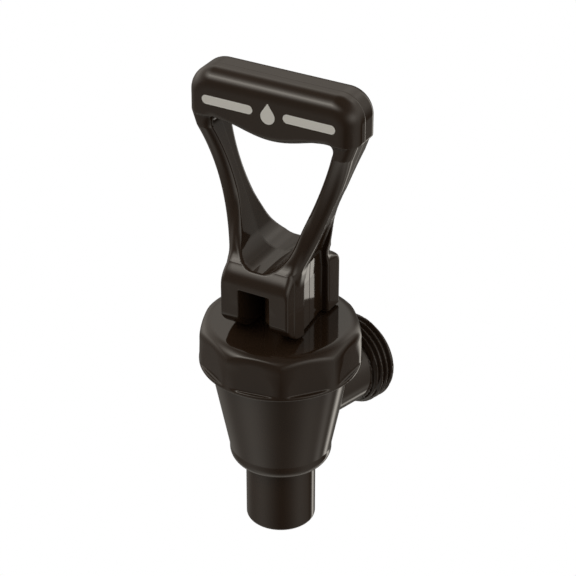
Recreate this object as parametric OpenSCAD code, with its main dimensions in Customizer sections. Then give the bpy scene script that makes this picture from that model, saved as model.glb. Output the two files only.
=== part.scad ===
// Self-closing beverage dispenser spigot with a pull handle, in millimetres.
// The origin is the middle of the inlet's end face, which screws into the tank's wall.
// The inlet points along +Y, and the spout points down, along -Z.

/* [Valve body] */
// Radius of the body's cone at its upper end
body_top_r = 17.8; // [17.2:0.1:19.4]
// Radius of the straight band at the foot of the cone
body_low_r = 13; // [12:0.1:14.5]
// Depth of the body's underside below the inlet's axis
body_depth = 16.9; // [15:0.1:24]
// Height of the straight band at the foot of the cone, rounded edge included
body_band_h = 4.4; // [3.8:0.1:7]
// Radius of the rounded edge round the body's underside
body_edge_r = 3.2; // [1:0.1:3.6]
// Wall of the body's cone
body_wall = 2.4; // [1.8:0.1:3]
// Floor of the body, under the seat
body_floor = 2.4; // [1.8:0.1:3.4]
// Step from the top of the cone in to the collar that the bonnet screws onto
collar_step = 0.8; // [0.6:0.1:1.1]
// Wall of that collar
collar_wall = 2.6; // [2:0.1:3.2]

/* [Spout] */
// Outer radius of the spout
spout_r = 8.9; // [8:0.1:9.6]
// Length of the spout below the body
spout_len = 18.2; // [10:0.1:30]
// Wall of the spout
spout_wall = 2; // [1.4:0.1:2.6]
// Radius of the spout's lower outer edge
spout_edge_r = 0.8; // [0.3:0.1:1.2]
// Height of the ring that the cup seals on, above the body's floor
seat_h = 1; // [0.5:0.1:2]
// Width of that ring
seat_w = 1; // [0.6:0.1:1.4]

/* [Inlet] */
// Outer radius of the inlet's neck
neck_r = 9.9; // [9:0.1:10.2]
// Distance of the inlet's end face from the upright axis
inlet_len = 31; // [28:0.1:45]
// Length of the threaded end
thread_len = 7.6; // [5:0.1:9]
// Radius of the thread's core
thread_core_r = 10.5; // [10.3:0.1:11.2]
// Distance from one crest of the thread to the next
thread_pitch = 1.8; // [1.4:0.1:2.4]
// Height of the thread's crest above its core
thread_depth = 1.1; // [0.6:0.1:1.2]
// Radius of the bore through the inlet
inlet_bore_r = 7; // [5:0.1:8]
// Chamfer at the inlet's end
inlet_chamfer = 0.7; // [0.3:0.1:1.2]

/* [Bonnet] */
// Height of the bonnet's lower rim above the inlet's axis
bonnet_z = 12.3; // [12:0.1:16]
// Outer radius of the bonnet
bonnet_r = 20.4; // [20:0.1:23]
// Height of the bonnet
bonnet_h = 11.5; // [11:0.1:15]
// Radius of the bonnet's rounded upper edge
bonnet_edge_r = 3.6; // [2:0.1:4]
// Number of flats round the bonnet
flat_count = 9; // [6:1:12]
// Depth of each flat at its middle
flat_depth = 0.9; // [0.5:0.1:1.1]
// Height of the round rim left below the flats
rim_h = 1.1; // [0.6:0.1:2]
// Radius of the rim's lower outer edge
rim_edge_r = 0.4; // [0.2:0.1:0.6]
// Thickness of the bonnet's top
bonnet_top = 3; // [2:0.1:3]
// Direction in which one of the bonnet's corners points, in degrees
bonnet_turn = -45; // [-180:1:180]

/* [Stem] */
// Radius of the stem
stem_r = 3.9; // [3.4:0.1:4.1]
// Radius of the flange that the spring presses on
stem_flange_r = 6.6; // [6.3:0.1:6.8]
// Thickness of that flange
stem_flange_h = 1.6; // [1:0.1:2.4]
// Radius of the button at the stem's lower end
button_r = 3.6; // [3.2:0.1:4.2]
// Height of that button
button_h = 2.2; // [1.6:0.1:3]
// Radius of the stem between flange and button
stem_neck_r = 2.3; // [1.8:0.1:2.6]
// Height of the flange's lower face above the seat
stem_flange_lift = 9; // [8:0.1:14]

/* [Seat cup] */
// Wall of the flexible cup
cup_wall = 1.2; // [0.9:0.1:1.5]
// Thickness of the cup's rim, held between body and bonnet
cup_rim_h = 1.2; // [0.8:0.1:1.6]
// Thickness of the cup's sealing foot
cup_foot_h = 1.8; // [1.4:0.1:3]

/* [Spring] */
// Radius of the spring's wire
wire_r = 0.55; // [0.4:0.05:0.6]
// Radius of the spring's coil, to the middle of the wire
coil_r = 5.5; // [5.1:0.05:5.8]
// Number of turns
coil_turns = 7; // [4:1:9]
// Thickness of the slip washer above the spring
washer_h = 0.8; // [0.5:0.1:1.2]
// Outer radius of the slip washer
washer_r = 6.8; // [6.4:0.1:7]

/* [Handle base] */
// Angle that the handle is swivelled from square with the inlet, in degrees
handle_yaw = 15.6; // [-180:0.1:180]
// Width of the handle's base
base_w = 18.9; // [17:0.1:21]
// Depth of the handle's base, front to back
base_d = 26.6; // [24:0.1:29]
// Height of the ledge along the front of the base
ledge_h = 17.4; // [16:0.1:18.4]
// Height of the back edge of the base
back_h = 14.2; // [12:0.1:16.5]
// Radius of the base's edges
base_edge_r = 0.9; // [0.4:0.1:1.4]
// Height of the handle's pin above the handle's foot
pin_h = 8.2; // [7.6:0.1:8.8]
// Lift of the stem for each radian of tilt, also the reach of the foot's flat
cam_lift = 4.5; // [3:0.1:5.5]
// Width of the slot for the stem
slot_w = 8.4; // [8.4:0.1:9.2]
// Height of the slot
slot_h = 13.3; // [12.9:0.1:14.2]
// Depth of the channel in each side of the base
channel_depth = 3.1; // [1.5:0.1:3.1]
// Distance of the channel's front edge before the pin
channel_front = 4.6; // [3.6:0.1:6]
// Distance of the channel's back edge behind the pin
channel_back = 7.2; // [4:0.1:8.5]
// Height above the saddle up to which the channel runs along the leg
channel_rise = 20; // [12:1:24]
// Radius of the handle's pin
pin_r = 1.6; // [1.2:0.1:2]

/* [Handle loop] */
// Height of the saddle between the legs
saddle_h = 19.2; // [18.6:0.1:21]
// Radius of the saddle's lower corners
saddle_r = 4; // [3:0.1:4.6]
// Half the gap between the legs where the saddle's corners end
leg_gap = 6.2; // [5.6:0.1:6.4]
// Thickness of a leg
leg_t = 4.8; // [4.2:0.1:5.2]
// Width of a leg where it meets the underside of the bar, along the bar
leg_foot = 5.5; // [5:0.1:6.5]
// Half the depth of a leg at its waist
leg_n = 3.5; // [3.2:0.1:4.4]
// Height of the legs' waist
waist_h = 39; // [36:0.5:42]
// Half the depth of the saddle
saddle_n = 9.7; // [8.5:0.1:11]
// Radius of the legs' long edges
leg_edge_r = 2; // [1:0.1:2]
// Radius of the loop's upper corners
corner_r = 3; // [2:0.1:4]

/* [Grip bar] */
// Length of the grip bar
bar_len = 45; // [43:0.1:50]
// Height of the grip bar at its ends
bar_h = 11.8; // [11:0.1:14]
// Depth of the grip bar, front to back
bar_d = 12.2; // [11:0.1:14]
// Height of the bar's lower edge above the handle's foot
bar_low_h = 53.4; // [52:0.1:58]
// Swell of the bar's underside at its middle
bar_swell = 3.2; // [0:0.1:3.4]
// Half the length of that swell
swell_half = 18; // [12:0.5:18]
// Radius of the bar's upper corners, seen from the front
bar_corner_r = 6.4; // [4:0.1:7]
// Radius of the bar's lower corners, seen from the front
bar_foot_r = 2.4; // [1.5:0.1:4]
// Radius of the bar's upright edges, seen from above
bar_side_r = 3; // [2:0.1:4]
// Radius of the bar's long edges
bar_edge_r = 2.6; // [1.5:0.1:2.8]

/* [Hidden] */
$fn = 72;
// Gap between parts that are screwed or pressed together
seat_gap = 0.05;
// Radial clearance of parts that turn or slide in each other
run_gap = 0.05;
// Gap between the handle's foot and the bonnet, and beside the stem in its slot
free_gap = 0.3;
// Overlap that lets a cut run past a surface
past = 1;
// Steps in the rounding of a moulded edge
edge_steps = 3;
// Least flat left between two rounded edges
least_flat = 0.02;
// Share of the channel's depth and reach that is left where it fades out
channel_end = 0.25;
black = "#1c1a18";
silicone = "#d9d4c8";
steel = "#b9bcc0";

bonnet_top_z = bonnet_z + bonnet_h;
bonnet_inner_z = bonnet_top_z - bonnet_top;
body_low_z = -body_depth;
body_floor_z = body_low_z + body_floor;
seat_z = body_floor_z + seat_h;
collar_r = body_top_r - collar_step;
collar_low_z = bonnet_z - 2 * seat_gap;
collar_top_z = bonnet_inner_z - cup_rim_h - 2 * seat_gap;
chamber_r = collar_r - collar_wall;
spout_bore_r = spout_r - spout_wall;
stem_hole_r = stem_r + run_gap;
handle_z = bonnet_top_z + free_gap;
pin_z = handle_z + pin_h;
flange_z = seat_z + stem_flange_lift;
washer_z = bonnet_inner_z - washer_h - seat_gap;
spring_low_z = flange_z + stem_flange_h + seat_gap;
spring_high_z = washer_z - seat_gap;
cup_r = coil_r + wire_r + 3 * free_gap + cup_wall;
slot_half = slot_w / 2;
// Lean of each leg from upright, so that its outer edge meets the end of the bar
leg_lean = atan((bar_len / 2 - leg_foot - leg_gap) / (bar_low_h - saddle_h - saddle_r));
arc_top = saddle_h + saddle_r * (1 - sin(leg_lean));
saddle_x = leg_x(arc_top) - saddle_r * cos(leg_lean);
pin_half = base_w / 2 - channel_depth - run_gap;

// Every piece is drawn with the valve's upright axis on Z and the inlet's axis on Y,
// then moved so that the inlet's end face is at the origin
module placed() {
    translate([0, -inlet_len, 0]) children();
}

// Radius of the body's cone at a height
function cone_r(z) = body_low_r + (body_top_r - body_low_r)
    * (z - body_low_z - body_band_h) / (collar_low_z - body_low_z - body_band_h);

// A square with its outer corner at the origin rounded off, to be cut away
module corner_cut(r) {
    difference() {
        translate([-r, -r]) square([r + past, r + past]);
        translate([-r, -r]) circle(r = r);
        translate([-r - past, -r - past]) square([past, r + 2 * past]);
    }
}

// Half section of the body's outside, without inlet
module body_section() {
    difference() {
        polygon([
            [0, body_low_z],
            [body_low_r, body_low_z],
            [body_low_r, body_low_z + body_band_h],
            [body_top_r, collar_low_z],
            [collar_r, collar_low_z],
            [collar_r, collar_top_z],
            [0, collar_top_z]
        ]);
        translate([body_low_r, body_low_z]) mirror([0, 1]) corner_cut(body_edge_r);
    }
    difference() {
        translate([0, body_low_z - spout_len]) square([spout_r, spout_len + past]);
        translate([spout_r, body_low_z - spout_len]) mirror([0, 1]) corner_cut(spout_edge_r);
    }
}

// Half section of the chamber, the seat ring and the way down the spout
module chamber_section() {
    difference() {
        polygon([
            [0, body_floor_z],
            [body_low_r - body_wall, body_floor_z],
            [body_low_r - body_wall, body_low_z + body_band_h],
            [min(chamber_r, cone_r(bonnet_z - past) - body_wall), bonnet_z - past],
            [chamber_r, bonnet_z],
            [chamber_r, collar_top_z + past],
            [0, collar_top_z + past]
        ]);
        translate([spout_bore_r, body_floor_z]) square([seat_w, seat_h]);
    }
    translate([0, body_low_z - spout_len - past])
        square([spout_bore_r, spout_len + body_floor + 2 * past]);
}

// One right-hand ridge wound round the inlet's core, sinking into it at both ends
module thread() {
    turn_steps = 20;
    root_half = 0.42 * thread_pitch;
    crest_half = 0.12 * thread_pitch;
    sunk = 0.3;
    low = inlet_len - thread_len + root_half + seat_gap;
    rise = thread_len - inlet_chamfer - 2 * (root_half + seat_gap);
    steps = round(turn_steps * rise / thread_pitch);
    skin([for (s = [0 : steps])
        let (
            turn = 360 * s / turn_steps,
            y = low + thread_pitch * s / turn_steps,
            share = min(1, min(s, steps - s) * 4 / turn_steps),
            root = thread_core_r - sunk,
            crest = root + sunk / 3 + (thread_depth + sunk * 2 / 3) * share
        )
        [for (p = [[crest, crest_half], [crest, -crest_half], [root, -root_half], [root, root_half]])
            [p[0] * cos(turn), p[0] * sin(turn), y + p[1]]]
    ]);
}

module body() {
    placed() color(black) difference() {
        union() {
            rotate([-90, 0, 0]) thread();
            rotate_extrude() body_section();
            rotate([-90, 0, 0]) cylinder(r = neck_r, h = inlet_len - thread_len + seat_gap);
            rotate([-90, 0, 0]) translate([0, 0, inlet_len - thread_len])
                cylinder(r = thread_core_r, h = thread_len - inlet_chamfer);
            rotate([-90, 0, 0]) translate([0, 0, inlet_len - inlet_chamfer])
                cylinder(r1 = thread_core_r, r2 = thread_core_r - inlet_chamfer, h = inlet_chamfer);
        }
        rotate_extrude() chamber_section();
        rotate([-90, 0, 0]) cylinder(r = inlet_bore_r, h = inlet_len + past);
    }
}

// Half section of the bonnet before its flats are cut
module bonnet_section() {
    difference() {
        translate([0, bonnet_z]) square([bonnet_r, bonnet_h]);
        translate([bonnet_r, bonnet_top_z]) corner_cut(bonnet_edge_r);
        translate([bonnet_r, bonnet_z]) mirror([0, 1]) corner_cut(rim_edge_r);
        translate([-past, bonnet_z - past])
            square([collar_r + seat_gap + past, bonnet_h - bonnet_top + past]);
        translate([-past, bonnet_z]) square([stem_hole_r + past, bonnet_h + past]);
    }
}

module bonnet() {
    flat_r = bonnet_r - flat_depth;
    placed() color(black) difference() {
        rotate_extrude() bonnet_section();
        for (i = [0 : flat_count - 1])
            rotate([0, 0, bonnet_turn + (i + 0.5) * 360 / flat_count])
                translate([flat_r, -bonnet_r, bonnet_z + rim_h])
                    cube([bonnet_r, 2 * bonnet_r, bonnet_h]);
    }
}

// The cup's rim lies between collar and bonnet, its skirt hangs round the spring and
// its foot closes the seat
module seat_cup() {
    rim_z = collar_top_z + seat_gap;
    foot_z = seat_z + seat_gap;
    hub_z = foot_z + cup_foot_h;
    hub_h = button_h + cup_wall + 2 * seat_gap;
    skirt_z = flange_z - cup_wall - free_gap;
    flare_z = (skirt_z + rim_z) / 2;
    placed() color(silicone) rotate_extrude() difference() {
        polygon([
            [0, foot_z],
            [spout_bore_r + seat_w, foot_z],
            [spout_bore_r + seat_w, hub_z],
            [button_r + 2 * cup_wall, hub_z + hub_h],
            [cup_r, skirt_z + cup_wall],
            [cup_r, flare_z],
            [chamber_r - 2 * free_gap, rim_z - cup_wall],
            [chamber_r - 2 * free_gap, rim_z],
            [collar_r - seat_gap, rim_z],
            [collar_r - seat_gap, rim_z + cup_rim_h],
            [0, rim_z + cup_rim_h]
        ]);
        translate([0, hub_z]) square([button_r + seat_gap, button_h + 2 * seat_gap]);
        translate([0, hub_z]) square([stem_neck_r + seat_gap, hub_h + past]);
        polygon([
            [0, hub_z + hub_h],
            [button_r, hub_z + hub_h],
            [cup_r - cup_wall, skirt_z + cup_wall],
            [cup_r - cup_wall, flare_z],
            [chamber_r - 2 * free_gap - cup_wall, rim_z],
            [chamber_r - 2 * free_gap - cup_wall, rim_z + cup_rim_h + past],
            [0, rim_z + cup_rim_h + past]
        ]);
    }
}

// Turned outline of the stem, with a ball end round the pin
module stem_section() {
    button_z = seat_z + cup_foot_h + 2 * seat_gap;
    translate([0, flange_z]) square([stem_r, pin_z - flange_z]);
    translate([0, flange_z]) square([stem_flange_r, stem_flange_h]);
    translate([0, button_z]) square([button_r, button_h]);
    translate([0, button_z]) square([stem_neck_r, flange_z - button_z + seat_gap]);
    intersection() {
        translate([0, pin_z]) circle(r = stem_r);
        translate([0, pin_z - past]) square([stem_r, stem_r + past]);
    }
}

module stem() {
    placed() color(black) difference() {
        rotate_extrude() stem_section();
        rotate([0, 0, handle_yaw]) translate([-stem_r - past, 0, pin_z]) rotate([0, 90, 0])
            cylinder(r = pin_r + run_gap, h = 2 * (stem_r + past));
    }
}

module slip_washer() {
    placed() color(steel) translate([0, 0, washer_z]) difference() {
        cylinder(r = washer_r, h = washer_h);
        translate([0, 0, -past]) cylinder(r = stem_hole_r, h = washer_h + 2 * past);
    }
}

// Height of the spring's wire at a share of its length, with both end turns closed
function wire_z(share) = let (
        turn = share * coil_turns,
        low = spring_low_z + wire_r,
        high = spring_high_z - wire_r,
        closed = 2 * wire_r + seat_gap,
        open_rise = (high - low - 2 * closed) / (coil_turns - 2)
    ) turn < 1 ? low + turn * closed
    : turn > coil_turns - 1 ? high - (coil_turns - turn) * closed
    : low + closed + (turn - 1) * open_rise;

// Closed skin through a list of rings that all have the same number of points
module skin(rings) {
    n = len(rings[0]);
    last = len(rings) - 1;
    polyhedron(
        points = [for (ring = rings) each ring],
        faces = [
            [for (i = [0 : n - 1]) i],
            [for (i = [0 : n - 1]) last * n + n - 1 - i],
            for (k = [0 : last - 1], i = [0 : n - 1])
                let (j = (i + 1) % n, a = k * n, b = a + n)
                each [[a + i, b + i, b + j], [a + i, b + j, a + j]]
        ]
    );
}

module spring() {
    sides = 8;
    steps = 20 * coil_turns;
    placed() color(steel) skin([for (s = [0 : steps])
        let (turn = 360 * coil_turns * s / steps, z = wire_z(s / steps))
        [for (i = [0 : sides - 1])
            let (a = 360 * (i + 0.5) / sides, r = coil_r + wire_r * cos(a))
            [r * cos(turn), r * sin(turn), z - wire_r * sin(a)]]
    ]);
}

// Rounded rectangle as a ring of points [across, along], the same count for every size
function round_ring(across, front, back, r) = [
    for (corner = [[1, 1, front], [-1, 1, front], [-1, -1, back], [1, -1, back]],
            k = [0 : edge_steps])
        let (
            a = (corner[0] == corner[1] ? k : edge_steps - k) * 90 / edge_steps,
            rr = min(r, (across - least_flat) / 2)
        )
        [corner[0] * (across / 2 - rr + rr * cos(a)), corner[1] * (corner[2] - rr + rr * sin(a))]
];

// Foot of the handle seen from the side, front to the right: flat under the pin and at the
// back, then an involute that lifts the pin evenly as the handle tilts forward
module foot_section() {
    swing = 75;
    steps = 15;
    intersection() {
        polygon([
            [-base_d, 0],
            for (s = [0 : steps])
                let (t = swing * s / steps, h = pin_h + cam_lift * t * PI / 180)
                [h * sin(t) + cam_lift * cos(t), pin_h - h * cos(t) + cam_lift * sin(t)],
            [base_d, 2 * saddle_h],
            [-base_d, 2 * saddle_h]
        ]);
        polygon([
            [-base_d / 2, 0],
            [base_d / 2, 0],
            [base_d / 2, ledge_h - base_edge_r],
            for (a = [15 : 15 : 90])
                [base_d / 2 - base_edge_r + base_edge_r * cos(a),
                    ledge_h - base_edge_r + base_edge_r * sin(a)],
            [-saddle_n, saddle_h - past],
            [-saddle_n - base_edge_r, saddle_h],
            [-base_d / 2 + base_edge_r, back_h + 2 * base_edge_r],
            [-base_d / 2, back_h]
        ]);
    }
}

// Inner edge of the right leg's straight stretch at a height
function leg_x(h) = leg_gap + (h - saddle_h - saddle_r) * tan(leg_lean);

// Outer edge of the right leg at a height
function out_x(h) = leg_x(h) + leg_t / cos(leg_lean);

// Half the depth of the loop at a height: least at the waist, more at the saddle and the bar
function loop_n(h) = let (
        n = leg_n + (saddle_n - leg_n) * pow((h - waist_h) / (waist_h - saddle_h), 2)
    ) h < waist_h ? min(saddle_n, n) : min(bar_d / 2 - bar_edge_r / 3, n);

// Thickness that takes a station from its inner point to the leg's outer edge
function reach(x, h, a) = (out_x(h) - x) / max(least_flat, cos(a) - sin(a) * tan(leg_lean));

// Stations of the right half of the loop, from the saddle's middle up into the bar.
// Each is [inner x, inner height, direction outwards, thickness].
function loop_stations() = let (
        arc_steps = 6,
        leg_steps = 10,
        corner_turn = 18,
        corner_h = bar_low_h - bar_foot_r / 3 - corner_r,
        corner_low = corner_h - corner_r * sin(leg_lean),
        corner_x = leg_x(corner_low) - corner_r * cos(leg_lean),
        deep = saddle_h - pin_h,
        bar_end = bar_len / 2 - bar_side_r / 4,
        bar_mid = bar_low_h + bar_h / 2
    ) [
        [0, saddle_h, -90, deep],
        for (s = [0 : arc_steps - 1])
            let (
                a = -90 + (90 - leg_lean) * s / arc_steps,
                x = saddle_x + saddle_r * cos(a),
                h = saddle_h + saddle_r * (1 + sin(a))
            )
            [x, h, a, min(deep, reach(x, h, a))],
        for (s = [0 : leg_steps])
            let (h = arc_top + (corner_low - arc_top) * s / leg_steps)
            [leg_x(h), h, -leg_lean, leg_t],
        for (a = [corner_turn - leg_lean : corner_turn : 90 - corner_turn / 2])
            let (x = corner_x + corner_r * cos(a), h = corner_h + corner_r * sin(a))
            [x, h, a, min(reach(x, h, a), (bar_end - x) / cos(a), (bar_mid - h) / max(sin(a), least_flat))]
    ];

// One station's rounded section, in [x, y, height]; the front faces -Y
function loop_ring(st) = let (
        n = loop_n(st[1]),
        mx = st[0] + st[3] / 2 * cos(st[2]),
        mh = st[1] + st[3] / 2 * sin(st[2])
    ) [for (p = round_ring(st[3], n, n, leg_edge_r))
        [mx - p[0] * cos(st[2]), -p[1], mh - p[0] * sin(st[2])]];

module loop_half() {
    skin([for (st = loop_stations()) loop_ring(st)]);
}

// How far a rounded corner has drawn in at a distance from the bar's middle
function draw_in(x, r) = let (over = max(0, abs(x) - bar_len / 2 + r))
    r - sqrt(max(0, r * r - over * over));

// Height of the bar's underside, with its swell in the middle
function bar_under(x) = bar_low_h - bar_swell * pow(cos(min(90, abs(x) * 90 / swell_half)), 2);

module grip_bar() {
    end_turn = 15;
    steps = 6;
    half = bar_len / 2;
    straight = half - bar_corner_r;
    xs = concat(
        [for (a = [0 : end_turn : 90 - end_turn]) -straight - bar_corner_r * cos(a)],
        [for (s = [-steps : steps]) straight * s / steps],
        [for (a = [90 - end_turn : -end_turn : 0]) straight + bar_corner_r * cos(a)]
    );
    skin([for (x = xs)
        let (
            top = bar_low_h + bar_h - draw_in(x, bar_corner_r),
            low = bar_under(x) + draw_in(x, bar_foot_r),
            n = bar_d / 2 - draw_in(x, bar_side_r),
            mid = (top + low) / 2
        )
        [for (p = round_ring(top - low, n, n, bar_edge_r)) [x, -p[1], mid + p[0]]]
    ]);
}

// Channel up the right side of the base and the outside of the leg
module side_channel() {
    steps = 8;
    rise = saddle_h + channel_rise - slot_h;
    far = bar_len;
    skin([for (s = [-1 : steps])
        let (
            share = max(0, s) / steps,
            left = 1 - (1 - channel_end) * share,
            h = s < 0 ? -past : slot_h + rise * share,
            floor_x = max(base_w / 2, out_x(h)) - channel_depth * left,
            front = channel_front * left + channel_end * share,
            back = channel_back * left + channel_end * share
        )
        [[floor_x, -front, h], [far, -front, h], [far, back, h], [floor_x, back, h]]
    ]);
}

module handle() {
    placed() color(black) translate([0, 0, handle_z]) rotate([0, 0, handle_yaw]) difference() {
        union() {
            rotate([90, 0, -90]) translate([0, 0, -base_w / 2])
                linear_extrude(height = base_w) foot_section();
            loop_half();
            mirror([1, 0, 0]) loop_half();
            grip_bar();
        }
        side_channel();
        mirror([1, 0, 0]) side_channel();
        translate([-slot_half, -base_d, -past]) cube([slot_w, base_d + slot_half + run_gap, slot_h + past]);
        translate([-base_w, 0, pin_h]) rotate([0, 90, 0]) cylinder(r = pin_r + run_gap, h = 2 * base_w);
    }
}

module handle_pin() {
    placed() color(steel) translate([0, 0, pin_z]) rotate([0, 0, handle_yaw])
        translate([-pin_half, 0, 0]) rotate([0, 90, 0]) cylinder(r = pin_r, h = 2 * pin_half);
}

body();
bonnet();
seat_cup();
stem();
slip_washer();
spring();
handle();
handle_pin();
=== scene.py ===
import math

import bpy
import numpy as np
from mathutils import Matrix, Vector


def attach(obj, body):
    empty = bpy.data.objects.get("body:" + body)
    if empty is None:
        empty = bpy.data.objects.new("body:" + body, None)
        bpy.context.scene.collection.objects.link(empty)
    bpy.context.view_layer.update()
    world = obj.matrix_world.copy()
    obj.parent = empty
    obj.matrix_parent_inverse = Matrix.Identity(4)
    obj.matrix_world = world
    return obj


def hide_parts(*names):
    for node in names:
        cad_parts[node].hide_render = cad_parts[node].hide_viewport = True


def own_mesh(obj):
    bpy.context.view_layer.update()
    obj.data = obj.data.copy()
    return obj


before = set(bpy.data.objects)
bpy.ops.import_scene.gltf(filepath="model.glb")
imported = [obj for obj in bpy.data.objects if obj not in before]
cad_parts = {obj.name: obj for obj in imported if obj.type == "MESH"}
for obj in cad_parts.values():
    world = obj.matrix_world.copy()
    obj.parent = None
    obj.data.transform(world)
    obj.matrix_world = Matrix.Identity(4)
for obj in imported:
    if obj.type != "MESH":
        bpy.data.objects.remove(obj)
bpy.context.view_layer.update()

MM = 0.001

# Shared sizes in millimetres, as in the CAD source
AXIS_Y = -31.0
BODY_TOP_R, BODY_LOW_R = 17.8, 13.0
BODY_LOW_Z, BODY_BAND_H, BODY_EDGE_R = -16.9, 4.4, 3.2
BODY_WALL, BODY_FLOOR = 2.4, 2.4
COLLAR_R, COLLAR_LOW_Z, COLLAR_TOP_Z = 17.0, 12.2, 19.5
CHAMBER_R = 14.4
SPOUT_R, SPOUT_LEN, SPOUT_BORE_R, SPOUT_EDGE_R = 8.9, 18.2, 6.9, 0.8
SEAT_H, SEAT_W = 1.0, 1.0
NECK_R, INLET_LEN, THREAD_LEN = 9.9, 31.0, 7.6
THREAD_CORE_R, THREAD_CREST_R, THREAD_PITCH = 10.5, 11.6, 1.8
INLET_BORE_R, INLET_CHAMFER = 7.0, 0.7
BONNET_Z, BONNET_R, BONNET_H, BONNET_EDGE_R = 12.3, 20.4, 11.5, 3.6
BONNET_TOP, FLAT_COUNT, FLAT_DEPTH, RIM_H, RIM_EDGE_R = 3.0, 9, 0.9, 1.1, 0.4
BONNET_TURN = math.radians(-45.0)
STEM_HOLE_R = 3.95
WIRE_R, COIL_R, COIL_TURNS, SPRING_LOW_Z, SPRING_HIGH_Z = 0.55, 5.5, 7, -2.85, 19.9
CUP_WALL, CUP_FOOT_Z, CUP_FOOT_H, CUP_RIM_Z, CUP_RIM_H, FREE_GAP = 1.2, -13.45, 1.8, 19.55, 1.2, 0.3
BUTTON_R, BUTTON_H, STEM_NECK_R, FLANGE_Z = 3.6, 2.2, 2.3, -4.5
HANDLE_YAW, HANDLE_Z = math.radians(15.6), 24.1
PIN_H, PIN_HOLE_R, CAM_LIFT = 8.2, 1.65, 4.5
BASE_W, BASE_D, LEDGE_H, BACK_H = 18.9, 26.6, 17.4, 14.2
SLOT_W, SLOT_H, SLOT_BACK = 8.4, 13.3, 4.25
CHANNEL_DEPTH, CHANNEL_FRONT, CHANNEL_BACK, CHANNEL_RISE = 2.0, 4.6, 7.2, 20.0
SADDLE_H, SADDLE_R, SADDLE_N = 19.2, 4.0, 9.7
LEG_GAP, LEG_T, LEG_FOOT, LEG_N, WAIST_H = 6.2, 4.8, 5.5, 3.5, 39.0
CORNER_R, TOE_R, FLOOR_TURN, PIN_HOLE_END = 3.0, 3.5, 0.09, 6.35
LEDGE_RISE, ROLL_R = 0.75, 3.7
BAR_LEN, BAR_H, BAR_D, BAR_LOW_H, BAR_SWELL, SWELL_HALF = 45.0, 11.8, 12.2, 53.4, 3.2, 18.0
BAR_CORNER_R, BAR_BACK_R, BAR_FRONT_R = 6.4, 2.8, 4.5
PRINT_H, STRIPE_START, STRIPE_END, STRIPE_HALF, DROP_R = 58.0, 5.2, 16.6, 1.15, 1.9
PARTING_HALF = 0.12
LEG_LEAN = math.atan((BAR_LEN / 2 - LEG_FOOT - LEG_GAP) / (BAR_LOW_H - SADDLE_H - SADDLE_R))


def meet(a, b, r):
    """Where two solids overlap, with their shared edge rounded by r."""
    u, v = np.maximum(a + r, 0), np.maximum(b + r, 0)
    return np.minimum(np.maximum(a + r, b + r), 0) + np.hypot(u, v) - r


def join(a, b, r):
    """Two solids together, with a hollow fillet of radius r between them."""
    return -meet(-a, -b, r)


def step_between(low, high, v):
    """Goes smoothly from 0 below low to 1 above high."""
    t = np.clip((v - low) / (high - low), 0, 1)
    return t * t * (3 - 2 * t)


# Surfaces from fields


CORNERS = [(i, j, k) for i in (0, 1) for j in (0, 1) for k in (0, 1)]
EDGES = [
    (a, b)
    for a in range(8)
    for b in range(a + 1, 8)
    if sum(abs(p - q) for p, q in zip(CORNERS[a], CORNERS[b])) == 1
]


def slope_of(field, points, reach=0.02):
    """Field values' gradient at points."""
    out = np.empty_like(points)
    for axis in range(3):
        ahead, behind = points.copy(), points.copy()
        ahead[:, axis] += reach
        behind[:, axis] -= reach
        out[:, axis] = (field(*ahead.T) - field(*behind.T)) / (2 * reach)
    return out


def surface(field, low, high, step):
    """Points, normals and quads of the surface where a field is zero."""
    axes = [np.arange(lo, hi + step, step) for lo, hi in zip(low, high)]
    grid = np.ascontiguousarray(
        np.broadcast_to(
            field(axes[0][:, None, None], axes[1][None, :, None], axes[2][None, None, :]),
            [len(a) for a in axes],
        )
    )
    inside = grid < 0
    cells = [n - 1 for n in grid.shape]

    def corner(array, c):
        return array[c[0] : c[0] + cells[0], c[1] : c[1] + cells[1], c[2] : c[2] + cells[2]]

    count = sum(corner(inside, c).astype(np.int8) for c in CORNERS)
    mixed = (count > 0) & (count < 8)
    index = np.full(cells, -1, np.int64)
    index[mixed] = np.arange(mixed.sum())
    where = np.argwhere(mixed)
    values = np.stack([corner(grid, c)[mixed] for c in CORNERS], 1)
    total, hits = np.zeros((len(where), 3)), np.zeros(len(where))
    for a, b in EDGES:
        va, vb = values[:, a], values[:, b]
        cut = (va < 0) != (vb < 0)
        t = np.where(cut, va / np.where(cut, va - vb, 1), 0)
        at = np.array(CORNERS[a]) + t[:, None] * (np.array(CORNERS[b]) - np.array(CORNERS[a]))
        total += at * cut[:, None]
        hits += cut
    points = (where + total / hits[:, None]) * step + np.array([a[0] for a in axes])
    quads = []
    for axis in range(3):
        u, v = (axis + 1) % 3, (axis + 2) % 3
        here = [slice(1, -1)] * 3
        here[axis] = slice(None, -1)
        there = list(here)
        there[axis] = slice(1, None)
        near, far = inside[tuple(here)], inside[tuple(there)]
        for flip, cut in ((False, near & ~far), (True, ~near & far)):
            spots = np.argwhere(cut)
            spots[:, u] += 1
            spots[:, v] += 1
            ring = []
            for du, dv in ((-1, -1), (0, -1), (0, 0), (-1, 0)):
                spot = spots.copy()
                spot[:, u] += du
                spot[:, v] += dv
                ring.append(index[tuple(spot.T)])
            ring = np.stack(ring, 1)
            quads.append(ring[:, ::-1] if flip else ring)
    quads = np.concatenate(quads)
    for _ in range(4):
        slope = slope_of(field, points)
        size = np.maximum((slope**2).sum(1), 1e-6)
        move = -slope * (field(*points.T) / size)[:, None]
        length = np.sqrt((move**2).sum(1))
        points = points + move * np.minimum(1, step / np.maximum(length, 1e-9))[:, None]
    normals = slope_of(field, points)
    normals /= np.maximum(np.sqrt((normals**2).sum(1)), 1e-9)[:, None]
    return points, normals, quads


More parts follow.
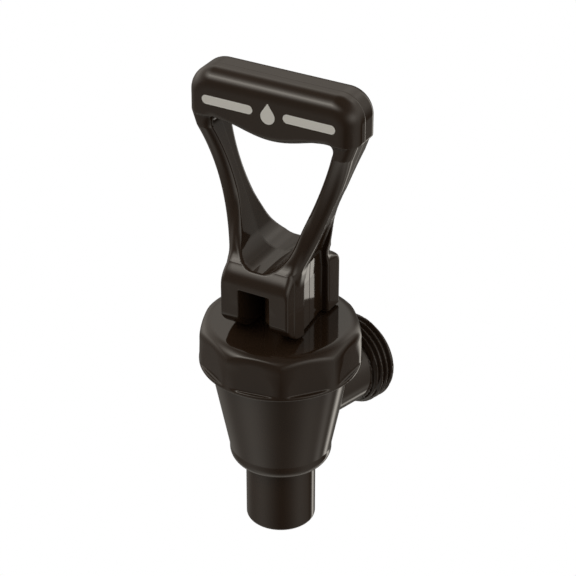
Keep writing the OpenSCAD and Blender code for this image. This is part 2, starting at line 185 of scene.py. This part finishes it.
def to_world(points, normals, yaw, base_z):
    """Moves points from the upright axis's own frame, turned by yaw, into the shared frame."""
    c, s = math.cos(yaw), math.sin(yaw)
    turn = np.array([[c, -s, 0], [s, c, 0], [0, 0, 1]])
    return points @ turn.T + np.array([0, AXIS_Y, base_z]), normals @ turn.T


def mesh_object(name, points, faces, normals=None):
    """A Blender object from points in millimetres."""
    mesh = bpy.data.meshes.new(name)
    faces = np.asarray(faces)
    mesh.vertices.add(len(points))
    mesh.vertices.foreach_set("co", (np.asarray(points) * MM).astype(np.float32).ravel())
    mesh.loops.add(faces.size)
    mesh.loops.foreach_set("vertex_index", faces.astype(np.int32).ravel())
    mesh.polygons.add(len(faces))
    mesh.polygons.foreach_set("loop_start", np.arange(0, faces.size, faces.shape[1], dtype=np.int32))
    mesh.update(calc_edges=True)
    mesh.validate()
    mesh.polygons.foreach_set("use_smooth", np.ones(len(mesh.polygons), bool))
    if normals is not None:
        mesh.normals_split_custom_set_from_vertices(normals.astype(np.float32))
    piece = bpy.data.objects.new(name, mesh)
    bpy.context.scene.collection.objects.link(piece)
    return piece


# Handle


def leg_inner(h):
    return LEG_GAP + (h - SADDLE_H - SADDLE_R) * math.tan(LEG_LEAN)


def leg_outer(h):
    return leg_inner(h) + LEG_T / math.cos(LEG_LEAN)


def loop_depth(h):
    """Half the loop's depth at a height, and how fast it changes."""
    t = (h - WAIST_H) / (WAIST_H - SADDLE_H)
    rise = np.minimum((SADDLE_N - LEG_N) * t * t, np.where(t < 0, SADDLE_N - LEG_N, 5.4 - LEG_N))
    return LEG_N + rise, 2 * (SADDLE_N - LEG_N) * t / (WAIST_H - SADDLE_H)


def bar_under(x):
    return BAR_LOW_H - BAR_SWELL * np.cos(np.minimum(np.pi / 2, x * np.pi / 2 / SWELL_HALF)) ** 2


def foot_field(n, h):
    """Below zero above the handle's foot: flat under the pin, then an involute to the front."""
    across, up = n, h - PIN_H
    reach = np.maximum(np.hypot(across, up), CAM_LIFT)
    turn = np.arctan2(up, across) + np.arccos(CAM_LIFT / reach)
    turn = np.where(across > 0, np.clip(turn, 0, math.radians(75)), 0)
    return across * np.sin(turn) - up * np.cos(turn) - PIN_H - CAM_LIFT * turn


def handle_field(x, y, z):
    """Distance-like field of the handle in its own frame: x along the bar, -y front, z up."""
    x, n, h = np.abs(x), -y, z
    depth, change = loop_depth(h)
    n_dist = (np.abs(n) - depth) / np.sqrt(1 + change * change)
    cos_l = math.cos(LEG_LEAN)
    # Legs and saddle
    outer = np.maximum((x - leg_outer(h)) * cos_l, x - BAR_LEN / 2 + 0.3)
    loop = np.maximum(outer, np.maximum(h - 58, 9 - h))
    loop = meet(loop, n_dist, 2.6)
    # Bar, rounded in front view and then along its long edges
    under = bar_under(x)
    bar = meet(x - BAR_LEN / 2, h - BAR_LOW_H - BAR_H, BAR_CORNER_R)
    bar = meet(bar, np.abs(n) - BAR_D / 2, BAR_BACK_R + (BAR_FRONT_R - BAR_BACK_R) * step_between(-1, 1, n))
    low_r = 0.5 + 1.7 * (1 - step_between(8, 15, x))
    low = meet(under - h, np.abs(n) - BAR_D / 2, low_r)
    bar = meet(bar, low, 0.45)
    # Base block, with a hollow fillet between its ledge and the legs' fronts
    side = x - BASE_W / 2 + 0.12 * step_between(9.8, 10.0, n)
    top = h - LEDGE_H - LEDGE_RISE * step_between(4, 9, n) - 0.12 * (np.minimum(n, 9.7) - 9.7)
    slab = np.maximum(meet(top, n - BASE_D / 2, ROLL_R), -h)
    block = join(loop, slab, TOE_R)
    rear = meet(-n - BASE_D / 2, -0.882 * (n + 13.3) + 0.471 * (h - BACK_H), 0.8)
    walls = meet(side, rear, 0.5 + 2.4 * step_between(12.5, 16, h))
    base = meet(meet(block, walls, 0.7 + 0.7 * step_between(13, 17, h)), foot_field(n, h), 0.35)
    solid = join(np.maximum(loop, PIN_H - h), base, 1.2)
    solid = np.minimum(solid, bar)
    # Opening, drafted both ways from a parting line that runs across the saddle and up the legs
    saddle = np.maximum(SADDLE_H - 0.075 * np.abs(n), LEDGE_H + 0.01)
    inner = leg_inner(h) + np.minimum(np.abs(n), depth) * (0.09 - 0.07 * step_between(22, 34, h))
    gap = meet((x - inner) * cos_l, saddle - h, SADDLE_R)
    gap = meet(gap, h - under, CORNER_R)
    edge_r = 0.04 + 0.4 * step_between(LEDGE_H, LEDGE_H + 1.4, h) + 1.4 * step_between(19, 25, h)
    solid = meet(solid, -gap, edge_r)
    # Channel in each side, its floor turned a little to the back
    share = (h - SLOT_H) / (SADDLE_H + CHANNEL_RISE - SLOT_H)
    left = 1 - 0.75 * np.clip(share, 0, 1)
    wall = np.maximum(BASE_W / 2, leg_outer(h))
    middle = (CHANNEL_FRONT - CHANNEL_BACK) / 2 * left
    half = (CHANNEL_FRONT + CHANNEL_BACK) / 2 * left
    turned = FLOOR_TURN * (n - middle + half)
    floor = wall - CHANNEL_DEPTH * left + turned + 2 * step_between(0.9, 1.25, share)
    channel = meet(floor - x, np.abs(n - middle) - half, 0.5)
    solid = meet(solid, -channel, 0.6)
    # Slot for the stem and hole for the pin
    slot = meet(x - SLOT_W / 2, h - SLOT_H, 0.3)
    slot = meet(slot, -SLOT_BACK - n, 0.3)
    solid = meet(solid, -slot, 0.25)
    pin = np.maximum(np.hypot(n, h - PIN_H) - PIN_HOLE_R, x - PIN_HOLE_END)
    return np.maximum(solid, -pin)


def make_handle():
    step = 0.36
    points, normals, quads = surface(handle_field, (-23.2, -14, -0.8), (23.2, 14, 66), step)
    points, normals = to_world(points, normals, HANDLE_YAW, HANDLE_Z)
    piece = mesh_object("handle_moulding", points, quads, normals)
    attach(piece, "handle_body")
    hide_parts("handle")
    return piece


# Bonnet


def bonnet_field(x, y, z):
    r = np.hypot(x, y)
    h = z - BONNET_Z
    outside = meet(r - BONNET_R, h - BONNET_H, BONNET_EDGE_R)
    outside = meet(outside, -h, RIM_EDGE_R)
    turn = np.arctan2(y, x) - BONNET_TURN - math.pi / FLAT_COUNT
    pitch = 2 * math.pi / FLAT_COUNT
    turn = turn - pitch * np.round(turn / pitch)
    flat = np.maximum(r * np.cos(turn) - BONNET_R + FLAT_DEPTH, -10.0)
    cut = meet(-flat, RIM_H - h, 0.35)
    outside = meet(outside, -cut, 0.3 + 0.4 * step_between(3, 7.5, h))
    inside = np.maximum(r - COLLAR_R - 0.05, h - BONNET_H + BONNET_TOP)
    outside = meet(outside, -inside, 0.3)
    return meet(outside, STEM_HOLE_R - r, 0.4)


def make_bonnet():
    step = 0.32
    points, normals, quads = surface(bonnet_field, (-21.2, -21.2, 11.5), (21.2, 21.2, 24.6), step)
    points, normals = to_world(points, normals, 0.0, 0.0)
    piece = mesh_object("bonnet_moulding", points, quads, normals)
    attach(piece, "faucet_body")
    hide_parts("bonnet")
    return piece


# Body with spout and threaded inlet


def body_field(x, y, z):
    r = np.hypot(x, y)
    band_z = BODY_LOW_Z + BODY_BAND_H
    slope = (BODY_TOP_R - BODY_LOW_R) / (COLLAR_LOW_Z - band_z)
    wall = r - BODY_LOW_R - slope * np.maximum(0, z - band_z)
    cone = meet(wall, BODY_LOW_Z - z, BODY_EDGE_R)
    cone = meet(cone, z - COLLAR_LOW_Z, 0.3)
    collar = meet(r - COLLAR_R, z - COLLAR_TOP_Z, 0.2)
    collar = np.maximum(collar, COLLAR_LOW_Z - 1 - z)
    spout = meet(r - SPOUT_R, BODY_LOW_Z - SPOUT_LEN - z, SPOUT_EDGE_R)
    spout = np.maximum(spout, z - BODY_LOW_Z - 1)
    inlet_r = np.hypot(x, z)
    turn = np.arctan2(z, x) / (2 * math.pi)
    phase = (y - INLET_LEN) / THREAD_PITCH - turn
    ridge = np.abs(phase - np.round(phase)) * 2
    fade = np.clip((y - INLET_LEN + THREAD_LEN) / 0.8, 0, 1) * np.clip((INLET_LEN - y) / 0.7, 0, 1)
    crest = (THREAD_CREST_R - THREAD_CORE_R) * (1 - step_between(0.1, 0.85, ridge)) * fade
    thread = inlet_r - THREAD_CORE_R - crest
    thread = meet(thread * 0.75, y - INLET_LEN, INLET_CHAMFER)
    thread = meet(thread, INLET_LEN - THREAD_LEN - y, 0.2)
    neck = np.maximum(np.maximum(inlet_r - NECK_R, y - INLET_LEN + 1), -y)
    solid = join(join(cone, neck, 0.8), spout, 0.5)
    solid = np.minimum(np.minimum(solid, thread), collar)
    chamber_r = np.minimum(BODY_LOW_R - BODY_WALL + slope * np.maximum(0, z - band_z), CHAMBER_R)
    chamber = np.maximum(r - chamber_r, BODY_LOW_Z + BODY_FLOOR - z)
    seat = np.maximum(r - SPOUT_BORE_R - SEAT_W, z - BODY_LOW_Z - BODY_FLOOR - SEAT_H)
    chamber = np.maximum(chamber, -seat)
    solid = np.maximum(solid, -chamber)
    solid = meet(solid, np.where(z < 0, SPOUT_BORE_R - r, -1), 0.35)
    bore = np.maximum(inlet_r - INLET_BORE_R, -y)
    return meet(solid, -bore, 0.3)


def make_body():
    step = 0.36
    points, normals, quads = surface(body_field, (-18.6, -18.6, -36), (18.6, 31.8, 20.4), step)
    points, normals = to_world(points, normals, 0.0, 0.0)
    piece = mesh_object("body_moulding", points, quads, normals)
    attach(piece, "faucet_body")
    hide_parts("body")
    return piece


# Spring and seat cup


def skin_rings(rings, closed):
    """Quads between rings of equal point count; closed joins the last ring to the first."""
    count, size = len(rings), len(rings[0])
    faces = []
    for k in range(count if closed else count - 1):
        a, b = k * size, (k + 1) % count * size
        faces += [(a + i, a + (i + 1) % size, b + (i + 1) % size, b + i) for i in range(size)]
    return np.concatenate(rings), faces


def make_spring():
    """A compression spring of round wire with a closed turn at each end."""
    low, high, closed = SPRING_LOW_Z + WIRE_R, SPRING_HIGH_Z - WIRE_R, 2 * WIRE_R + 0.05
    turns = np.linspace(0, COIL_TURNS, 48 * COIL_TURNS + 1)
    height = np.interp(turns, [0, 1, COIL_TURNS - 1, COIL_TURNS], [low, low + closed, high - closed, high])
    around_wire = np.linspace(0, 2 * math.pi, 12, endpoint=False)
    rings, normals = [], []
    ends = {0: 0.35, len(turns) - 1: 0.35}
    for k, (turn, z) in enumerate(zip(turns, height)):
        a, r = turn * 2 * math.pi, WIRE_R * ends.get(k, 1.0)
        out, up = np.cos(around_wire), -np.sin(around_wire)
        normals.append(np.stack([out * math.cos(a), out * math.sin(a), up], 1))
        rings.append(np.stack([COIL_R * math.cos(a) + 0 * out, COIL_R * math.sin(a) + 0 * out, z + 0 * out], 1)
                     + r * normals[-1])
    points, faces = skin_rings(rings, False)
    points, normals = to_world(points, np.concatenate(normals), 0.0, 0.0)
    piece = mesh_object("spring_coil", points, faces, normals)
    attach(piece, "slip_ring")
    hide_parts("spring")
    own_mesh(piece)
    return piece


def round_profile(corners, radius, steps=4):
    """A closed outline with every corner rounded by radius, or less where its sides are short."""
    corners = [np.array(c, float) for c in corners]
    out = []
    for k, here in enumerate(corners):
        before, after = corners[k - 1] - here, corners[(k + 1) % len(corners)] - here
        reach = min(radius, 0.45 * np.linalg.norm(before), 0.45 * np.linalg.norm(after))
        start = here + before / np.linalg.norm(before) * reach
        end = here + after / np.linalg.norm(after) * reach
        for t in np.linspace(0, 1, steps):
            out.append((1 - t) ** 2 * start + 2 * t * (1 - t) * here + t * t * end)
    return np.array(out)


def make_cup():
    """The flexible cup: a thick sealing foot, a clip for the stem's button, a skirt and a rim."""
    hub_z = CUP_FOOT_Z + CUP_FOOT_H
    hub_h = BUTTON_H + CUP_WALL + 0.1
    skirt_z = FLANGE_Z - CUP_WALL - FREE_GAP
    skirt_r = COIL_R + WIRE_R + 3 * FREE_GAP + CUP_WALL
    flare_z, flare_r = (skirt_z + CUP_RIM_Z) / 2, CHAMBER_R - 2 * FREE_GAP
    foot_r, rim_r = SPOUT_BORE_R + SEAT_W, COLLAR_R - 0.05
    axle = 0.02
    corners = [
        (axle, CUP_FOOT_Z), (foot_r, CUP_FOOT_Z), (foot_r, hub_z), (BUTTON_R + 2 * CUP_WALL, hub_z + hub_h),
        (skirt_r, skirt_z + CUP_WALL), (skirt_r, flare_z), (flare_r, CUP_RIM_Z - CUP_WALL),
        (flare_r, CUP_RIM_Z), (rim_r, CUP_RIM_Z), (rim_r, CUP_RIM_Z + CUP_RIM_H),
        (flare_r - CUP_WALL, CUP_RIM_Z + CUP_RIM_H), (flare_r - CUP_WALL, CUP_RIM_Z),
        (skirt_r - CUP_WALL, flare_z), (skirt_r - CUP_WALL, skirt_z + CUP_WALL),
        (BUTTON_R, hub_z + hub_h), (STEM_NECK_R + 0.05, hub_z + hub_h),
        (STEM_NECK_R + 0.05, hub_z + BUTTON_H + 0.1), (BUTTON_R + 0.05, hub_z + BUTTON_H + 0.1),
        (BUTTON_R + 0.05, hub_z), (axle, hub_z),
    ]
    profile = round_profile(corners, 0.35)
    turns = np.linspace(0, 2 * math.pi, 96, endpoint=False)
    rings = [np.stack([profile[:, 0] * math.cos(a), profile[:, 0] * math.sin(a), profile[:, 1]], 1) for a in turns]
    points, faces = skin_rings(rings, True)
    points, _ = to_world(points, points, 0.0, 0.0)
    piece = mesh_object("cup_skin", points, [f[::-1] for f in faces])
    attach(piece, "faucet_body")
    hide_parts("seat_cup")
    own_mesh(piece)
    return piece


# Materials


def math_maker(nodes, links):
    """Gives a function that adds a math node and returns its output."""

    def math_node(kind, *values):
        node = nodes.new("ShaderNodeMath")
        node.operation = kind
        for socket, value in zip(node.inputs, values):
            if isinstance(value, (int, float)):
                socket.default_value = value
            else:
                links.new(value, socket)
        return node.outputs[0]

    return math_node


def node_material(name):
    material = bpy.data.materials.new(name)
    material.use_nodes = True
    return material, material.node_tree.nodes, material.node_tree.links


def plastic(name, colour, roughness, grain=0.02, waves=0.0):
    """Glossy moulded plastic with faint colour drift and a slightly uneven, polished skin."""
    material, nodes, links = node_material(name)
    shader = nodes["Principled BSDF"]
    place = nodes.new("ShaderNodeTexCoord")
    drift = nodes.new("ShaderNodeTexNoise")
    drift.inputs["Scale"].default_value = 90
    drift.inputs["Detail"].default_value = 3
    links.new(place.outputs["Object"], drift.inputs["Vector"])
    ramp = nodes.new("ShaderNodeValToRGB")
    ramp.color_ramp.elements[0].color = (*[c * 0.8 for c in colour], 1)
    ramp.color_ramp.elements[1].color = (*[c * 1.25 for c in colour], 1)
    links.new(drift.outputs["Fac"], ramp.inputs["Fac"])
    links.new(ramp.outputs["Color"], shader.inputs["Base Color"])
    rough = nodes.new("ShaderNodeMapRange")
    rough.inputs["To Min"].default_value = roughness * 0.8
    rough.inputs["To Max"].default_value = roughness * 1.25
    links.new(drift.outputs["Fac"], rough.inputs["Value"])
    links.new(rough.outputs["Result"], shader.inputs["Roughness"])
    skin = nodes.new("ShaderNodeTexNoise")
    skin.inputs["Scale"].default_value = 900
    skin.inputs["Detail"].default_value = 2
    links.new(place.outputs["Object"], skin.inputs["Vector"])
    bump = nodes.new("ShaderNodeBump")
    bump.inputs["Strength"].default_value = grain
    bump.inputs["Distance"].default_value = 0.0002
    links.new(skin.outputs["Fac"], bump.inputs["Height"])
    links.new(bump.outputs["Normal"], shader.inputs["Normal"])
    shader.inputs["IOR"].default_value = 1.5
    return material


def handle_place(nodes, links):
    """The handle's own coordinates in millimetres: along the bar, to the front, up."""
    place = nodes.new("ShaderNodeTexCoord")
    move = nodes.new("ShaderNodeVectorMath")
    move.operation = "SUBTRACT"
    links.new(place.outputs["Object"], move.inputs[0])
    move.inputs[1].default_value = (0, AXIS_Y * MM, HANDLE_Z * MM)
    turn = nodes.new("ShaderNodeVectorRotate")
    turn.rotation_type = "Z_AXIS"
    turn.inputs["Angle"].default_value = -HANDLE_YAW
    links.new(move.outputs[0], turn.inputs["Vector"])
    scale = nodes.new("ShaderNodeVectorMath")
    scale.operation = "MULTIPLY"
    links.new(turn.outputs[0], scale.inputs[0])
    scale.inputs[1].default_value = (1 / MM, -1 / MM, 1 / MM)
    parts = nodes.new("ShaderNodeSeparateXYZ")
    links.new(scale.outputs[0], parts.inputs[0])
    return parts.outputs


def add_print(material):
    """A pale pad print on the bar's front: a drop between two stripes."""
    nodes, links = material.node_tree.nodes, material.node_tree.links
    do = math_maker(nodes, links)
    x, n, h = handle_place(nodes, links)
    x = do("ABSOLUTE", x)
    stripe_x = do("MAXIMUM", do("SUBTRACT", x, STRIPE_END), do("SUBTRACT", STRIPE_START, x))
    stripe_x = do("POWER", do("MAXIMUM", stripe_x, 0.0), 2.0)
    stripe_h = do("POWER", do("ABSOLUTE", do("SUBTRACT", h, PRINT_H)), 2.0)
    stripe = do("SUBTRACT", do("SQRT", do("ADD", stripe_x, stripe_h)), STRIPE_HALF)
    drop_h = do("SUBTRACT", h, PRINT_H - 0.7)
    drop = do("SQRT", do("ADD", do("POWER", x, 2.0), do("POWER", do("ABSOLUTE", drop_h), 2.0)))
    drop = do("SUBTRACT", drop, DROP_R)
    tip = do("SUBTRACT", x, do("MULTIPLY", do("SUBTRACT", 1.8 * DROP_R, drop_h), 0.67))
    tip = do("MAXIMUM", tip, do("SUBTRACT", 0.55 * DROP_R, drop_h))
    shape = do("MINIMUM", stripe, do("MINIMUM", drop, tip))
    inked = do("MULTIPLY", do("LESS_THAN", shape, 0.0), do("GREATER_THAN", n, BAR_D / 2 - 0.6))
    shader = nodes["Principled BSDF"]
    wear = nodes.new("ShaderNodeTexNoise")
    wear.inputs["Scale"].default_value = 2500
    pale = nodes.new("ShaderNodeValToRGB")
    pale.color_ramp.elements[0].color = (0.84, 0.84, 0.82, 1)
    pale.color_ramp.elements[1].color = (0.95, 0.95, 0.93, 1)
    links.new(wear.outputs["Fac"], pale.inputs["Fac"])
    mix = nodes.new("ShaderNodeMix")
    mix.data_type = "RGBA"
    links.new(inked, mix.inputs["Factor"])
    links.new(shader.inputs["Base Color"].links[0].from_socket, mix.inputs["A"])
    links.new(pale.outputs["Color"], mix.inputs["B"])
    links.new(mix.outputs["Result"], shader.inputs["Base Color"])


def add_parting_line(material):
    """A hair-thin groove round the handle where the two halves of its mould met."""
    nodes, links = material.node_tree.nodes, material.node_tree.links
    do = math_maker(nodes, links)
    x, n, h = handle_place(nodes, links)
    off = do("POWER", do("ABSOLUTE", do("DIVIDE", n, PARTING_HALF)), 2.0)
    groove = do("EXPONENT", do("MULTIPLY", off, -1.0))
    shader = nodes["Principled BSDF"]
    bump = nodes.new("ShaderNodeBump")
    bump.invert = True
    bump.inputs["Strength"].default_value = 0.3
    bump.inputs["Distance"].default_value = 0.00008
    links.new(groove, bump.inputs["Height"])
    links.new(shader.inputs["Normal"].links[0].from_socket, bump.inputs["Normal"])
    links.new(bump.outputs["Normal"], shader.inputs["Normal"])


def steel(name):
    """Drawn and tumbled stainless steel."""
    material, nodes, links = node_material(name)
    shader = nodes["Principled BSDF"]
    place = nodes.new("ShaderNodeTexCoord")
    brush = nodes.new("ShaderNodeTexNoise")
    brush.inputs["Scale"].default_value = 700
    brush.inputs["Detail"].default_value = 4
    links.new(place.outputs["Object"], brush.inputs["Vector"])
    tint = nodes.new("ShaderNodeValToRGB")
    tint.color_ramp.elements[0].color = (0.46, 0.46, 0.47, 1)
    tint.color_ramp.elements[1].color = (0.62, 0.62, 0.63, 1)
    links.new(brush.outputs["Fac"], tint.inputs["Fac"])
    links.new(tint.outputs["Color"], shader.inputs["Base Color"])
    rough = nodes.new("ShaderNodeMapRange")
    rough.inputs["To Min"].default_value = 0.22
    rough.inputs["To Max"].default_value = 0.38
    links.new(brush.outputs["Fac"], rough.inputs["Value"])
    links.new(rough.outputs["Result"], shader.inputs["Roughness"])
    shader.inputs["Metallic"].default_value = 1.0
    return material


# Stage


def make_camera():
    """The photograph's viewpoint: a long lens, above and to the right of the handle's front."""
    data = bpy.data.cameras.new("camera")
    data.lens = 134.0
    data.sensor_width = 36.0
    data.sensor_fit = "HORIZONTAL"
    data.clip_start = 0.01
    data.clip_end = 20.0
    camera = bpy.data.objects.new("camera", data)
    bpy.context.scene.collection.objects.link(camera)
    place = Vector((0.3203, -0.3513, 0.2993))
    forward = Vector((-0.6067, 0.6117, -0.5076)).normalized()
    right = forward.cross(Vector((0, 0, 1))).normalized()
    up = right.cross(forward)
    turn = Matrix((right, up, -forward)).transposed().to_4x4()
    camera.matrix_world = Matrix.Translation(place) @ turn
    bpy.context.scene.camera = camera


# Soft boxes of the room: azimuth from the handle's front, elevation, their spreads, brightness
ROOM_LEVEL = 0.13
ROOM_LIGHTS = [
    (-33, -52, 26, 21, 0.46),
    (-95, 12, 26, 14, 1.1),
    (-108, -60, 18, 16, 0.25),
    (92, -25, 20, 45, 0.3),
    (80, 14, 22, 12, 1.2),
    (165, -25, 5.5, 30, 1.8),
    (145, -25, 11, 15, -0.15),
    (136, -58, 8, 10, 0.6),
    (118, 10, 14, 30, 0.15),
    (30, -30, 14, 30, -0.06),
    (-40, 49, 30, 9, 3.2),
    (-165, 36, 45, 10, 0.8),
    (140, 14, 20, 14, 0.5),
    (0, -84, 400, 14, 0.45),
]
ROOM_COLOUR = (1.0, 0.95, 0.86)


def make_world():
    """White for the camera, and for everything else a grey room with soft boxes."""
    world = bpy.data.worlds.new("world")
    bpy.context.scene.world = world
    world.use_nodes = True
    nodes, links = world.node_tree.nodes, world.node_tree.links
    nodes.clear()
    math_node = math_maker(nodes, links)
    place = nodes.new("ShaderNodeTexCoord")
    parts = nodes.new("ShaderNodeSeparateXYZ")
    links.new(place.outputs["Generated"], parts.inputs[0])
    azimuth = math_node("ARCTAN2", parts.outputs["X"], math_node("MULTIPLY", parts.outputs["Y"], -1.0))
    elevation = math_node("ARCSINE", parts.outputs["Z"])
    level = ROOM_LEVEL
    for az, el, spread_az, spread_el, bright in ROOM_LIGHTS:
        off = math_node("SUBTRACT", azimuth, math.radians(az) + HANDLE_YAW)
        off = math_node("WRAP", off, math.pi, -math.pi)
        off = math_node("POWER", math_node("ABSOLUTE", math_node("DIVIDE", off, math.radians(spread_az))), 2.0)
        lift = math_node("SUBTRACT", elevation, math.radians(el))
        lift = math_node("DIVIDE", lift, math.radians(spread_el))
        lift = math_node("POWER", math_node("ABSOLUTE", lift), 2.0)
        glow = math_node("EXPONENT", math_node("MULTIPLY", math_node("ADD", off, lift), -0.5))
        level = math_node("ADD", level, math_node("MULTIPLY", glow, bright))
    level = math_node("MAXIMUM", level, 0.02)
    white = nodes.new("ShaderNodeBackground")
    white.inputs["Color"].default_value = (1, 1, 1, 1)
    room = nodes.new("ShaderNodeBackground")
    room.inputs["Color"].default_value = (*ROOM_COLOUR, 1)
    links.new(level, room.inputs["Strength"])
    path = nodes.new("ShaderNodeLightPath")
    mix = nodes.new("ShaderNodeMixShader")
    links.new(path.outputs["Is Camera Ray"], mix.inputs["Fac"])
    links.new(room.outputs["Background"], mix.inputs[1])
    links.new(white.outputs["Background"], mix.inputs[2])
    out = nodes.new("ShaderNodeOutputWorld")
    links.new(mix.outputs["Shader"], out.inputs["Surface"])


def soft_light(name, place, size, level, towards=(0, -0.031, 0.03)):
    """A plain soft box that shines evenly at a given brightness."""
    data = bpy.data.lights.new(name, "AREA")
    data.shape = "RECTANGLE"
    data.size, data.size_y = size
    data.energy = level * size[0] * size[1] * math.pi
    data.color = ROOM_COLOUR
    lamp = bpy.data.objects.new(name, data)
    bpy.context.scene.collection.objects.link(lamp)
    aim = Vector(towards) - Vector(place)
    lamp.matrix_world = Matrix.Translation(place) @ aim.to_track_quat("-Z", "Y").to_matrix().to_4x4()


def around(azimuth, elevation, distance):
    """A place round the object; azimuth from the handle's front, positive to its right."""
    a, e = math.radians(azimuth) + HANDLE_YAW, math.radians(elevation)
    return (
        distance * math.cos(e) * math.sin(a),
        AXIS_Y * MM - distance * math.cos(e) * math.cos(a),
        distance * math.sin(e) + 0.03,
    )


make_camera()
make_world()
soft_light("key_box", around(-40, 52, 0.9), (0.3, 0.12), 1.0)
bpy.context.scene.view_settings.view_transform = "Standard"

black = plastic("black_moulding", (0.028, 0.0165, 0.010), 0.07)
printed = plastic("black_handle", (0.028, 0.0165, 0.010), 0.07)
add_print(printed)
add_parting_line(printed)
# The stem is the same black plastic as the rest; its colour is raised about six times as painted fill light, so
# the shaded slot it sits in reads lighter.
stem_with_painted_light = plastic("stem_painted_fill_light", (0.16, 0.095, 0.055), 0.35)
silicone = plastic("silicone", (0.62, 0.58, 0.50), 0.5, 0.05)
metal = steel("steel")
for piece, material in ((make_handle(), printed), (make_bonnet(), black), (make_body(), black),
                        (make_cup(), silicone), (make_spring(), metal)):
    piece.data.materials.append(material)
for node, material in (("stem", stem_with_painted_light), ("slip_washer", metal), ("handle_pin", metal)):
    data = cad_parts[node].data
    for slot in range(len(data.materials)):
        data.materials[slot] = material
